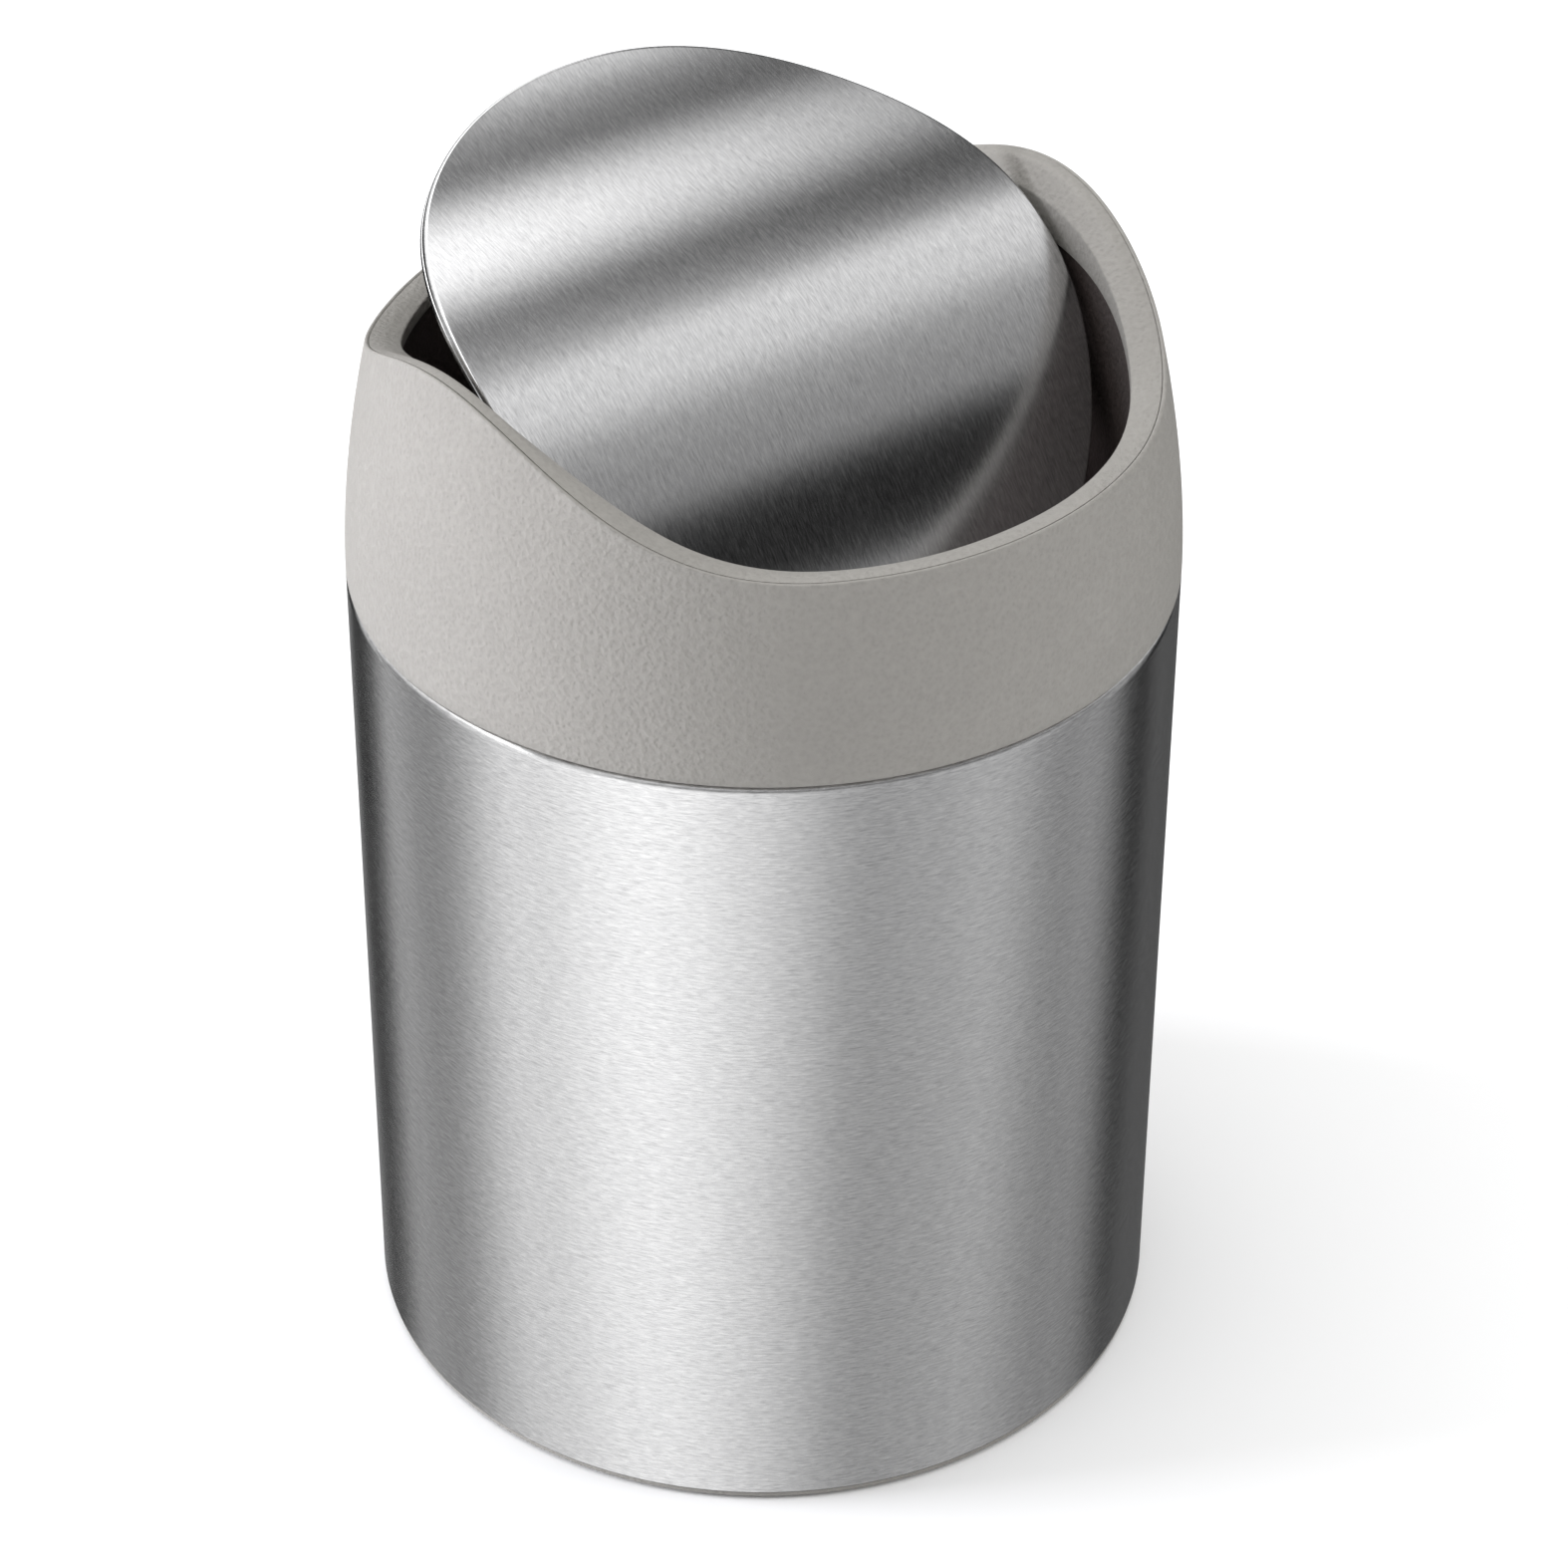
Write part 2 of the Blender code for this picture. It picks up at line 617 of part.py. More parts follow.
def make_weight_cover(plastic, pivot):
    """An open trough under the bar, with a screw tab at each end."""
    cavity = WEIGHT_RADIUS + TROUGH_CLEARANCE
    outside = cavity + TROUGH_WALL
    half = WEIGHT_LENGTH / 2 + TROUGH_CLEARANCE
    steps = 12
    mesh = bpy.data.meshes.new("weight_cover")
    build = bmesh.new()

    # The end face: half a circle round the bar, with straight sides up to the tabs.
    x = -half - TROUGH_WALL
    outline = [(x, -outside, TAB_TOP)]
    for step in range(steps + 1):
        angle = math.pi * step / steps
        outline.append((x, -outside * math.cos(angle), WEIGHT_Z - outside * math.sin(angle)))
    outline.append((x, outside, TAB_TOP))
    end = build.faces.new([build.verts.new(point) for point in outline])
    extruded = bmesh.ops.extrude_face_region(build, geom=[end])["geom"]
    moved = [v for v in extruded if isinstance(v, bmesh.types.BMVert)]
    bmesh.ops.translate(build, verts=moved, vec=(2 * (half + TROUGH_WALL), 0, 0))
    bmesh.ops.recalc_face_normals(build, faces=build.faces)
    build.to_mesh(mesh)
    build.free()
    cover = place(bpy.data.objects.new("weight_cover", mesh), plastic, pivot)

    low = (-TAB_X - POST_RADIUS, -POST_RADIUS, TAB_TOP - TAB_THICKNESS)
    high = (TAB_X + POST_RADIUS, POST_RADIUS, TAB_TOP)
    combine(cover, block("tab_guide", low, high, pivot), "UNION")
    ends = [(-half, 0, WEIGHT_Z), (half, 0, WEIGHT_Z)]
    combine(cover, rod("trough_guide", cavity, *ends, pivot), "DIFFERENCE")
    low = (-half, -cavity, WEIGHT_Z)
    high = (half, cavity, TAB_TOP + OVERCUT)
    combine(cover, block("trough_mouth_guide", low, high, pivot), "DIFFERENCE")
    for side, name in SIDES:
        x = side * TAB_X
        ends = [(x, 0, TAB_TOP - TAB_THICKNESS - OVERCUT), (x, 0, TAB_TOP + OVERCUT)]
        combine(cover, rod(f"tab_hole_guide_{name}", SCREW_HOLE, *ends, pivot), "DIFFERENCE")


# ---------------------------------------------------------------- assembly


def clear_scene():
    for item in list(bpy.data.objects):
        bpy.data.objects.remove(item, do_unlink=True)


def make_can(materials):
    make_body_shell(materials["brushed_steel"])
    make_base_pan(materials["grey_plastic"])
    make_foot_ring(materials["black_rubber"])
    make_inner_bucket(materials["brown_plastic"])


def make_collar_unit(materials):
    make_collar_shell(materials["grey_plastic"])
    make_rim_bezel(materials["grey_plastic"])
    make_pivot_ring(materials["brown_plastic"])
    for side, name in SIDES:
        make_pivot_bush(side, name, materials["brown_plastic"])
    for number, angle in enumerate(COLLAR_SCREW_ANGLES, 1):
        head = around(angle, COLLAR_SCREW_RADIUS, FLANGE_BOTTOM - GAP)
        make_screw(f"collar_screw_{number}", COLLAR_SCREW_LENGTH, materials["plain_steel"], head)


def make_swing_lid(materials):
    pivot = bpy.data.objects.new("lid_pivot", None)
    bpy.context.scene.collection.objects.link(pivot)
    pivot.location = (0, 0, PIVOT_Z)
    pivot.rotation_euler.x = OPEN_ANGLE
    make_lid_skin(materials["brushed_steel"], pivot)
    make_lid_backing(materials["grey_plastic"], pivot)
    make_counterweight(materials["plain_steel"], pivot)
    make_weight_cover(materials["grey_plastic"], pivot)
    for side, name in SIDES:
        make_pivot_pin(side, name, materials["plain_steel"], pivot)
        head = (side * TAB_X, 0, TAB_TOP - TAB_THICKNESS - GAP)
        make_screw(f"weight_screw_{name}", WEIGHT_SCREW_LENGTH, materials["plain_steel"], head, pivot)


def main():
    clear_scene()
    materials = make_materials()
    make_can(materials)
    make_collar_unit(materials)
    make_swing_lid(materials)


main()
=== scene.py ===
"""The looks of the countertop wastebasket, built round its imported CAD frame.

Metres, +Z up, in the CAD frame: the pivot axis of the lid runs along X and the lid's lowered end is at -Y.
Fine turned meshes replace the can, the collar, the bezel, the bucket and the lid's skin. The small hidden
pieces are the CAD solids with softened edges.
"""

import json
import math

import bmesh
import bpy
from mathutils import Matrix, Vector


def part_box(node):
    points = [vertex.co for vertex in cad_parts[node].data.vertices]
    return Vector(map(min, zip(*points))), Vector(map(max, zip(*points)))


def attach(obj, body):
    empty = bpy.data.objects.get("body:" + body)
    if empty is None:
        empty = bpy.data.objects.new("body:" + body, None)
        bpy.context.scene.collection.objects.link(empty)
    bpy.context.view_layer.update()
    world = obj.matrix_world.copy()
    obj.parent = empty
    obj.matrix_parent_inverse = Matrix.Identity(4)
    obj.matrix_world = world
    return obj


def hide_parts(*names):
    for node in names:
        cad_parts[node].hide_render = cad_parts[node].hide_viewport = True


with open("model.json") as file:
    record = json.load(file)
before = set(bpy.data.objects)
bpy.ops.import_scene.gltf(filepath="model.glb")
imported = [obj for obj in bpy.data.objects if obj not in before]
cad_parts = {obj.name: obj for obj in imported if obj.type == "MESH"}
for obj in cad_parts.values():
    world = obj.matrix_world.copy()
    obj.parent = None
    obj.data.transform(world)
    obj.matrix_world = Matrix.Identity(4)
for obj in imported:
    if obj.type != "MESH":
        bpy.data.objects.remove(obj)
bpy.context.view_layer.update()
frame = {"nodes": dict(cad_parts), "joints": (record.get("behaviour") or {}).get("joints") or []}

MM = 0.001
GAP = 0.3 * MM

# Driving sizes, from the CAD solids
BODY_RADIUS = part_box("body_shell")[1].x
SHELL_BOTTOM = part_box("body_shell")[0].z
SHELL_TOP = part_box("body_shell")[1].z
SEAM_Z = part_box("collar_shell")[0].z
PAN_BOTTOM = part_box("base_pan")[0].z
PAN_SKIRT_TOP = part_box("base_pan")[1].z
FOOT_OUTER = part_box("foot_ring")[1].x
FOOT_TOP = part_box("foot_ring")[1].z
BUCKET_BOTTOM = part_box("inner_bucket")[0].z
BUCKET_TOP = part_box("inner_bucket")[1].z
PIVOT_Z = next(joint["pos_m"][2] for joint in frame["joints"] if joint["name"] == "lid_swing")

# Can
STEEL = 0.6 * MM
SHOULDER = 1.3 * MM
CURL_RADIUS = 60.3 * MM
CURL_BOTTOM = 132.5 * MM
PAN_TOP = 3.4 * MM
PAN_SKIRT = 1.6 * MM
PAN_INSET = 0.2 * MM
PAN_LINE = 0.15 * MM  # the dark line between the wall and the base's lip
FOOT_WIDTH = 6.0 * MM
BUCKET_FOOT_RADIUS = 55.3 * MM
BUCKET_MOUTH_RADIUS = 58.2 * MM
BUCKET_WALL = 1.4 * MM
BUCKET_RIM = 1.2 * MM
BUCKET_RIM_HEIGHT = 2.0 * MM
BUCKET_CORNER = 3.0 * MM

# Collar and its rim
WALL_CURVE = 0.191
WALL_POWER = 1.79
WALL = 1.8 * MM
RIM_LOW = 31.2 * MM
RIM_HIGH = 47.2 * MM
RIM_REACH = 52.7 * MM
LIP = 0.65 * MM
REBATE = 1.9 * MM
BEAD = 0.35 * MM  # height of the rounded top of the collar's lip
BEAD_STEPS = 8
SEAM_EDGE = 0.15 * MM  # chamfer at the collar's foot
BOSS_RADIUS = 2.2 * MM
BOSS_HOLE = 1.3 * MM
BOSS_FACETS = 32
RIB_LENGTH = 2.4 * MM
RIB_WIDTH = 1.6 * MM
RIB_SHORTER = 1.2 * MM  # than its boss
RIB_OUT = 1.0 * MM  # from the boss's wall to the rib's middle
BOSS_TOP = 148.0 * MM
BOSS_BOTTOM = 138.5 * MM
BOSS_AT = 56.6 * MM
BOSS_ANGLES = [math.radians(a) for a in (25, 155, 205, 335)]

# Bezel and opening
OPENING_X = 50.3 * MM
OPENING_Y = 54.9 * MM
OPENING_POWER = 2.13
PARTING = 0.02 * MM  # the fine line between the collar's lip and the bezel
BAND = 2.5 * MM
BAND_DROP = 0.15 * MM
BAND_OUTER_DROP = 0.05 * MM
EDGE_DROP_LOW = 0.6 * MM
EDGE_DROP_HIGH = 3.8 * MM
EDGE_DROP_REACH = 32.0 * MM
LIP_DEPTH_LOW = 2.2 * MM
LIP_DEPTH_HIGH = 5.8 * MM
LIP_DEPTH_REACH = 37.5 * MM
BEZEL_WALL = 1.2 * MM

# Lid, in a frame whose origin is on the pivot axis
OPEN_ANGLE = math.radians(33.5)
LID_X = 49.1 * MM
LID_Y = 54.1 * MM
LID_REACH = 55.5 * MM
LID_CREST = 7.4 * MM
LID_DROP = 11.93 * MM
LID_STEEL = 0.5 * MM
LID_EDGE = 2.2 * MM
HEM_LINE = 1.1 * MM  # how far down the edge the folded hem shows as a fine groove
HEM_GROOVE = 0.2 * MM
HEM_OPENING = 0.15 * MM
HEM_BEVEL = 0.1 * MM
EDGE_ROUND = 0.45 * MM
EDGE_STEPS = 6
EDGE_SUPPORT = 0.08 * MM  # a loop this close to the rounded edge keeps the shading of the plate flat
LID_CORNER = 0.12 * MM

# Camera
CAMERA_AT = Vector((-0.3683, -0.4900, 0.5284))
CAMERA_AIM = Vector((0.0, -0.0053, 0.0953))
CAMERA_ROLL = math.radians(0.312)
CAMERA_LENS = 111.44
CAMERA_SENSOR = 36.0

FLOOR_HALF = 6.0
STEPS = 360  # facets round the large pieces
SOFT_EDGE = 0.12 * MM  # bevel on the small CAD pieces


# ---------------------------------------------------------------- mesh helpers


def around(angle, radius, z=0.0):
    return Vector((radius * math.cos(angle), radius * math.sin(angle), z))


def rounded(corners, steps=4):
    """A closed outline of (radius, z) points from corners (radius, z, rounding), each rounding a soft arc."""
    points = []
    for i, (radius, z, rounding) in enumerate(corners):
        corner = Vector((radius, z))
        if not rounding:
            points.append(corner)
            continue
        before = Vector(corners[i - 1][:2]) - corner
        after = Vector(corners[(i + 1) % len(corners)][:2]) - corner
        start = corner + before.normalized() * rounding
        end = corner + after.normalized() * rounding
        for step in range(steps + 1):
            t = step / steps
            points.append(start * (1 - t) ** 2 + corner * 2 * t * (1 - t) + end * t * t)
    return points


def ring_piece(name, section, body, material, replaces=(), sharp=40):
    """A closed solid swept round Z from section(angle), an outline of (radius, z) points."""
    build = bmesh.new()
    loops = []
    for i in range(STEPS):
        angle = 2 * math.pi * i / STEPS
        loops.append([build.verts.new(around(angle, r, z)) for r, z in section(angle)])
    skin_loops(build, loops)
    return finish_piece(name, build, body, material, replaces, sharp)


def skin_loops(build, loops):
    """Faces between each closed loop of vertices and the next, and back to the first."""
    for i, loop in enumerate(loops):
        following = loops[(i + 1) % len(loops)]
        for j in range(len(loop)):
            k = (j + 1) % len(loop)
            build.faces.new((loop[j], following[j], following[k], loop[k]))


def finish_piece(name, build, body, material, replaces=(), sharp=40):
    bmesh.ops.remove_doubles(build, verts=build.verts, dist=1e-7)
    loose = [edge for edge in build.edges if not edge.link_faces]
    bmesh.ops.delete(build, geom=loose, context="EDGES")
    bmesh.ops.recalc_face_normals(build, faces=build.faces)
    mesh = bpy.data.meshes.new(name)
    build.to_mesh(mesh)
    build.free()
    mesh.shade_smooth()
    mesh.set_sharp_from_angle(angle=math.radians(sharp))
    mesh.materials.append(material)
    piece = bpy.data.objects.new(name, mesh)
    bpy.context.scene.collection.objects.link(piece)
    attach(piece, body)
    if replaces:
        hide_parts(*replaces)
    return piece


def refine(node, name, body, material):
    """The CAD solid of a node with welded, softly bevelled edges."""
    build = bmesh.new()
    build.from_mesh(frame["nodes"][node].data)
    bmesh.ops.remove_doubles(build, verts=build.verts, dist=1e-6)
    bmesh.ops.dissolve_limit(build, angle_limit=math.radians(1), verts=build.verts, edges=build.edges)
    piece = finish_piece(name, build, body, material, (node,), sharp=35)
    modifier = piece.modifiers.new("soft_edges", "BEVEL")
    modifier.width = SOFT_EDGE
    modifier.segments = 2
    modifier.limit_method = "ANGLE"
    modifier.angle_limit = math.radians(40)
    modifier.harden_normals = True


# ---------------------------------------------------------------- material helpers


class Nodes:
    """A node tree that is written as nested calls."""

    def __init__(self, tree):
        self.tree = tree
        tree.nodes.clear()

    def add(self, kind, inputs=None, **settings):
        node = self.tree.nodes.new("ShaderNode" + kind)
        for key, value in settings.items():
            setattr(node, key, value)
        for key, value in (inputs or {}).items():
            self.feed(node.inputs[key], value)
        return node

    def feed(self, socket, value):
        if isinstance(value, bpy.types.Node):
            self.tree.links.new(value.outputs[0], socket)
        elif isinstance(value, bpy.types.NodeSocket):
            self.tree.links.new(value, socket)
        else:
            socket.default_value = value

    def math(self, operation, a, b=0.0):
        return self.add("Math", {0: a, 1: b}, operation=operation)

    def mix(self, first, share, second):
        """share of the first value and the rest of the second."""
        return self.math("ADD", self.math("MULTIPLY", first, share), self.math("MULTIPLY", second, 1 - share))

    def between(self, value, low, high, to_low=0.0, to_high=1.0):
        return self.add(
            "MapRange",
            {"Value": value, "From Min": low, "From Max": high, "To Min": to_low, "To Max": to_high},
        )

    def noise(self, vector, size, detail, distortion=0.0):
        """Noise whose patches are about size across, in the vector's own units."""
        inputs = {
            "Vector": vector,
            "Scale": 1.0 / size,
            "Detail": detail,
            "Roughness": 0.6,
            "Distortion": distortion,
        }
        return self.add("TexNoise", inputs).outputs["Fac"]

    def ramp(self, value, stops, interpolation="LINEAR"):
        node = self.add("ValToRGB", {"Fac": value})
        node.color_ramp.interpolation = interpolation
        elements = node.color_ramp.elements
        while len(elements) < len(stops):
            elements.new(0.5)
        for element, (place, colour) in zip(elements, stops):
            element.position = place
            element.color = (*colour, 1.0) if isinstance(colour, tuple) else (colour, colour, colour, 1.0)
        return node


def new_material(name):
    material = bpy.data.materials.new(name)
    material.use_nodes = True
    return material, Nodes(material.node_tree)


def shader_out(nodes, **inputs):
    shader = nodes.add("BsdfPrincipled", {key.replace("_", " "): value for key, value in inputs.items()})
    nodes.add("OutputMaterial", {"Surface": shader})


def brushed_steel(name, turned, roughness, anisotropy):
    """Stainless steel with short straight brush strokes.

    They run round the Z axis on a turned wall, and along V of the UV map "plate", in metres, on a plate.
    """
    material, nodes = new_material(name)
    if turned:
        place = nodes.add("SeparateXYZ", {"Vector": nodes.add("TexCoord").outputs["Object"]})
        turn = nodes.math("ARCTAN2", place.outputs["Y"], place.outputs["X"])
        length = nodes.math("MULTIPLY", turn, BODY_RADIUS)
        width = place.outputs["Z"]
        tangent = nodes.add("Tangent", direction_type="RADIAL", axis="Z")
    else:
        place = nodes.add("SeparateXYZ", {"Vector": nodes.add("UVMap", uv_map="plate")})
        length, width = place.outputs["Y"], place.outputs["X"]
        tangent = nodes.add("Tangent", direction_type="UV_MAP", uv_map="plate")

    def strokes(stroke_length, stroke_width, seed):
        """Noise drawn out along the strokes; both sizes in metres."""
        x = nodes.math("DIVIDE", length, stroke_length)
        y = nodes.math("DIVIDE", width, stroke_width)
        vector = nodes.add("CombineXYZ", {"X": x, "Y": y, "Z": seed})
        return nodes.noise(vector, 1.0, 2.0, distortion=0.5)

    fine = strokes(1.9 * MM, 0.30 * MM, 1.0)
    broad = strokes(5.0 * MM, 0.70 * MM, 5.0)
    cloud = strokes(30.0 * MM, 20.0 * MM, 9.0)
    mixed = nodes.mix(fine, 0.8, broad)
    dark, middle, bright = (0.50, 0.50, 0.505), (0.66, 0.66, 0.665), (0.82, 0.82, 0.82)
    colour = nodes.ramp(mixed, [(0.28, dark), (0.5, middle), (0.72, bright)])
    varied = nodes.mix(mixed, 0.7, cloud)
    rough = nodes.between(varied, 0.3, 0.7, roughness - 0.025, roughness + 0.025)
    bump = nodes.add("Bump", {"Height": mixed, "Strength": 0.02, "Distance": 0.02 * MM})
    shader_out(
        nodes,
        Base_Color=colour,
        Metallic=1.0,
        Roughness=rough,
        Anisotropic=anisotropy,
        Anisotropic_Rotation=0.25 if turned else 0.0,
        Normal=bump,
        Tangent=tangent,
    )
    return material


def moulded_plastic(name, dark, light, roughness):
    """Matte plastic with a fine leathery mould grain."""
    grain = 0.8 * MM
    material, nodes = new_material(name)
    place = nodes.add("TexCoord").outputs["Object"]
    cells = nodes.add(
        "TexVoronoi", {"Vector": place, "Scale": 1.0 / grain}, feature="SMOOTH_F1"
    ).outputs["Distance"]
    specks = nodes.noise(place, 0.5 * grain, 3.0)
    clouds = nodes.noise(place, 24.0 * MM, 2.0)
    grainy = nodes.mix(cells, 0.6, specks)
    tone = nodes.mix(grainy, 0.7, clouds)
    colour = nodes.ramp(tone, [(0.3, dark), (0.65, light)])
    rough = nodes.between(grainy, 0.2, 0.7, roughness - 0.05, roughness + 0.08)
    bump = nodes.add("Bump", {"Height": grainy, "Strength": 0.9, "Distance": 0.25 * MM})
    shader_out(nodes, Base_Color=colour, Roughness=rough, Normal=bump)
    return material


def plain_steel(name):
    """Zinc-plated steel for the hidden fasteners and the bar."""
    material, nodes = new_material(name)
    place = nodes.add("TexCoord").outputs["Object"]
    spangle = nodes.noise(place, 2.0 * MM, 2.0)
    colour = nodes.ramp(spangle, [(0.35, (0.50, 0.51, 0.53)), (0.65, (0.63, 0.63, 0.62))])
    rough = nodes.between(spangle, 0.3, 0.7, 0.26, 0.40)
    shader_out(nodes, Base_Color=colour, Metallic=1.0, Roughness=rough)
    return material


def rubber(name):
    material, nodes = new_material(name)
    place = nodes.add("TexCoord").outputs["Object"]
    dust = nodes.noise(place, 1.2 * MM, 4.0)
    colour = nodes.ramp(dust, [(0.35, (0.018, 0.018, 0.018)), (0.7, (0.045, 0.044, 0.043))])
    bump = nodes.add("Bump", {"Height": dust, "Strength": 0.2, "Distance": 0.05 * MM})
    shader_out(nodes, Base_Color=colour, Roughness=0.85, Normal=bump)
    return material


# ---------------------------------------------------------------- shape of the rim and the lid


def wave(y, low, high, reach):
    """A smooth wave across the pivot axis: high on the axis, low from reach outwards."""
    return low + (high - low) * 0.5 * (1 + math.cos(math.pi * min(abs(y) / reach, 1.0)))


def superellipse(angle, half_x, half_y):
    x = abs(math.cos(angle)) / half_x
    y = abs(math.sin(angle)) / half_y
    return (x**OPENING_POWER + y**OPENING_POWER) ** (-1 / OPENING_POWER)


def wall_radius(z):
    rise = max(z - SEAM_Z, 0.0) / BODY_RADIUS
    return BODY_RADIUS * (1 - WALL_CURVE * rise**WALL_POWER)


def rim_edge(angle):
    """Radius and height of the rim's outer edge, where the wave cuts the collar's wall."""
    radius = BODY_RADIUS
    for _ in range(30):  # many more rounds than it takes to settle
        height = SEAM_Z + wave(radius * math.sin(angle), RIM_LOW, RIM_HIGH, RIM_REACH)
        radius = wall_radius(height)
    return radius, height


def opening_edge(angle):
    """Radius of the opening, height of its upper edge and height of the lip's lower edge."""
    radius = superellipse(angle, OPENING_X, OPENING_Y)
    y = radius * math.sin(angle)
    top = rim_edge(angle)[1] - wave(y, EDGE_DROP_LOW, EDGE_DROP_HIGH, EDGE_DROP_REACH)
    return radius, top, top - wave(y, LIP_DEPTH_LOW, LIP_DEPTH_HIGH, LIP_DEPTH_REACH)


def lid_height(y):
    """Height of the closed lid's surface above the pivot axis."""
    return wave(y, LID_CREST - LID_DROP, LID_CREST, LID_REACH)


# ---------------------------------------------------------------- can


def make_can(steel, plastic, foot_rubber):
    inner = BODY_RADIUS - STEEL
    under = SHELL_TOP - STEEL
    wall = rounded(
        [
            (inner, SHELL_BOTTOM, 0.1 * MM),
            (BODY_RADIUS, SHELL_BOTTOM, 0.25 * MM),
            (BODY_RADIUS, SHELL_TOP, SHOULDER),
            (CURL_RADIUS, SHELL_TOP, 0.5 * MM),
            (CURL_RADIUS, CURL_BOTTOM, 0.1 * MM),
            (CURL_RADIUS + STEEL, CURL_BOTTOM, 0.1 * MM),
            (CURL_RADIUS + STEEL, under, 0.3 * MM),
            (inner, under, 0.4 * MM),
        ],
        steps=8,
    )
    ring_piece("can_wall", lambda angle: wall, "can", steel, ("body_shell",))

    skirt = inner - GAP
    lip = BODY_RADIUS - PAN_INSET
    groove = FOOT_TOP + GAP
    foot_inner = FOOT_OUTER - FOOT_WIDTH
    pan = rounded(
        [
            (0.0, PAN_BOTTOM, 0.0),
            (foot_inner - GAP, PAN_BOTTOM, 0.3 * MM),
            (foot_inner - GAP, groove, 0.0),
            (FOOT_OUTER + GAP, groove, 0.0),
            (FOOT_OUTER + GAP, PAN_BOTTOM, 0.3 * MM),
            (lip, PAN_BOTTOM, 0.4 * MM),
            (lip, SHELL_BOTTOM - PAN_LINE, 0.15 * MM),
            (skirt, SHELL_BOTTOM - PAN_LINE, 0.0),
            (skirt, PAN_SKIRT_TOP, 0.3 * MM),
            (skirt - PAN_SKIRT, PAN_SKIRT_TOP, 0.3 * MM),
            (skirt - PAN_SKIRT, PAN_TOP, 0.5 * MM),
            (0.0, PAN_TOP, 0.0),
        ]
    )
    ring_piece("can_base", lambda angle: pan, "can", plastic, ("base_pan",), sharp=30)

    foot = rounded(
        [
            (foot_inner, 0.0, 0.5 * MM),
            (FOOT_OUTER, 0.0, 0.5 * MM),
            (FOOT_OUTER, FOOT_TOP, 0.2 * MM),
            (foot_inner, FOOT_TOP, 0.2 * MM),
        ]
    )
    ring_piece("non_slip_ring", lambda angle: foot, "can", foot_rubber, ("foot_ring",))


def make_bucket(plastic):
    rim = BUCKET_MOUTH_RADIUS + BUCKET_RIM
    rim_bottom = BUCKET_TOP - BUCKET_RIM_HEIGHT
    floor = BUCKET_BOTTOM + BUCKET_WALL
    outline = rounded(
        [
            (0.0, BUCKET_BOTTOM, 0.0),
            (BUCKET_FOOT_RADIUS, BUCKET_BOTTOM, BUCKET_CORNER),
            (BUCKET_MOUTH_RADIUS, rim_bottom, 0.3 * MM),
            (rim, rim_bottom, 0.3 * MM),
            (rim, BUCKET_TOP, 0.7 * MM),
            (BUCKET_MOUTH_RADIUS - BUCKET_WALL, BUCKET_TOP, 0.7 * MM),
            (BUCKET_FOOT_RADIUS - BUCKET_WALL, floor, BUCKET_CORNER),
            (0.0, floor, 0.0),
        ],
        steps=8,
    )
    ring_piece("bucket_liner", lambda angle: outline, "bucket", plastic, ("inner_bucket",))


# ---------------------------------------------------------------- collar


def make_collar(plastic):
    rows = 28

    def section(angle):
        radius, top = rim_edge(angle)
        rebate = top - REBATE
        outer_top = top - BEAD
        foot = SEAM_Z + SEAM_EDGE
        outline = [Vector((wall_radius(SEAM_Z) - SEAM_EDGE, SEAM_Z))]
        for row in range(rows + 1):
            z = foot + (outer_top - foot) * row / rows
            outline.append(Vector((wall_radius(z), z)))
        outer = wall_radius(outer_top)
        inner = radius - LIP
        centre = (outer + inner) / 2
        half = (outer - inner) / 2
        for step in range(1, BEAD_STEPS):  # the rounded bead
            turn = math.pi * step / BEAD_STEPS
            outline.append(Vector((centre + half * math.cos(turn), outer_top + BEAD * math.sin(turn))))
        outline.append(Vector((inner, outer_top)))
        outline.append(Vector((inner, rebate)))
        for row in range(rows, -1, -1):
            z = SEAM_Z + (rebate - SEAM_Z) * row / rows
            outline.append(Vector((wall_radius(z) - WALL, z)))
        return outline

    ring_piece("collar", section, "lid_ring", plastic, ("collar_shell",), sharp=50)


def make_collar_bosses(plastic):
    """Screw bosses and their ribs inside the collar."""
    build = bmesh.new()
    outline = [
        (BOSS_HOLE, BOSS_BOTTOM),
        (BOSS_RADIUS, BOSS_BOTTOM),
        (BOSS_RADIUS, BOSS_TOP),
        (BOSS_HOLE, BOSS_TOP),
    ]
    for angle in BOSS_ANGLES:
        centre = around(angle, BOSS_AT)
        loops = []
        for i in range(BOSS_FACETS):
            turn = 2 * math.pi * i / BOSS_FACETS
            loops.append([build.verts.new(centre + around(turn, r, z)) for r, z in outline])
        skin_loops(build, loops)
        size = Matrix.Diagonal((RIB_LENGTH, RIB_WIDTH, BOSS_TOP - BOSS_BOTTOM - RIB_SHORTER, 1.0))
        rib_at = around(angle, BOSS_AT + BOSS_RADIUS + RIB_OUT, (BOSS_TOP + BOSS_BOTTOM) / 2)
        turned = Matrix.Translation(rib_at) @ Matrix.Rotation(angle, 4, "Z")
        bmesh.ops.create_cube(build, size=1.0, matrix=turned @ size)
    finish_piece("collar_bosses", build, "lid_ring", plastic)


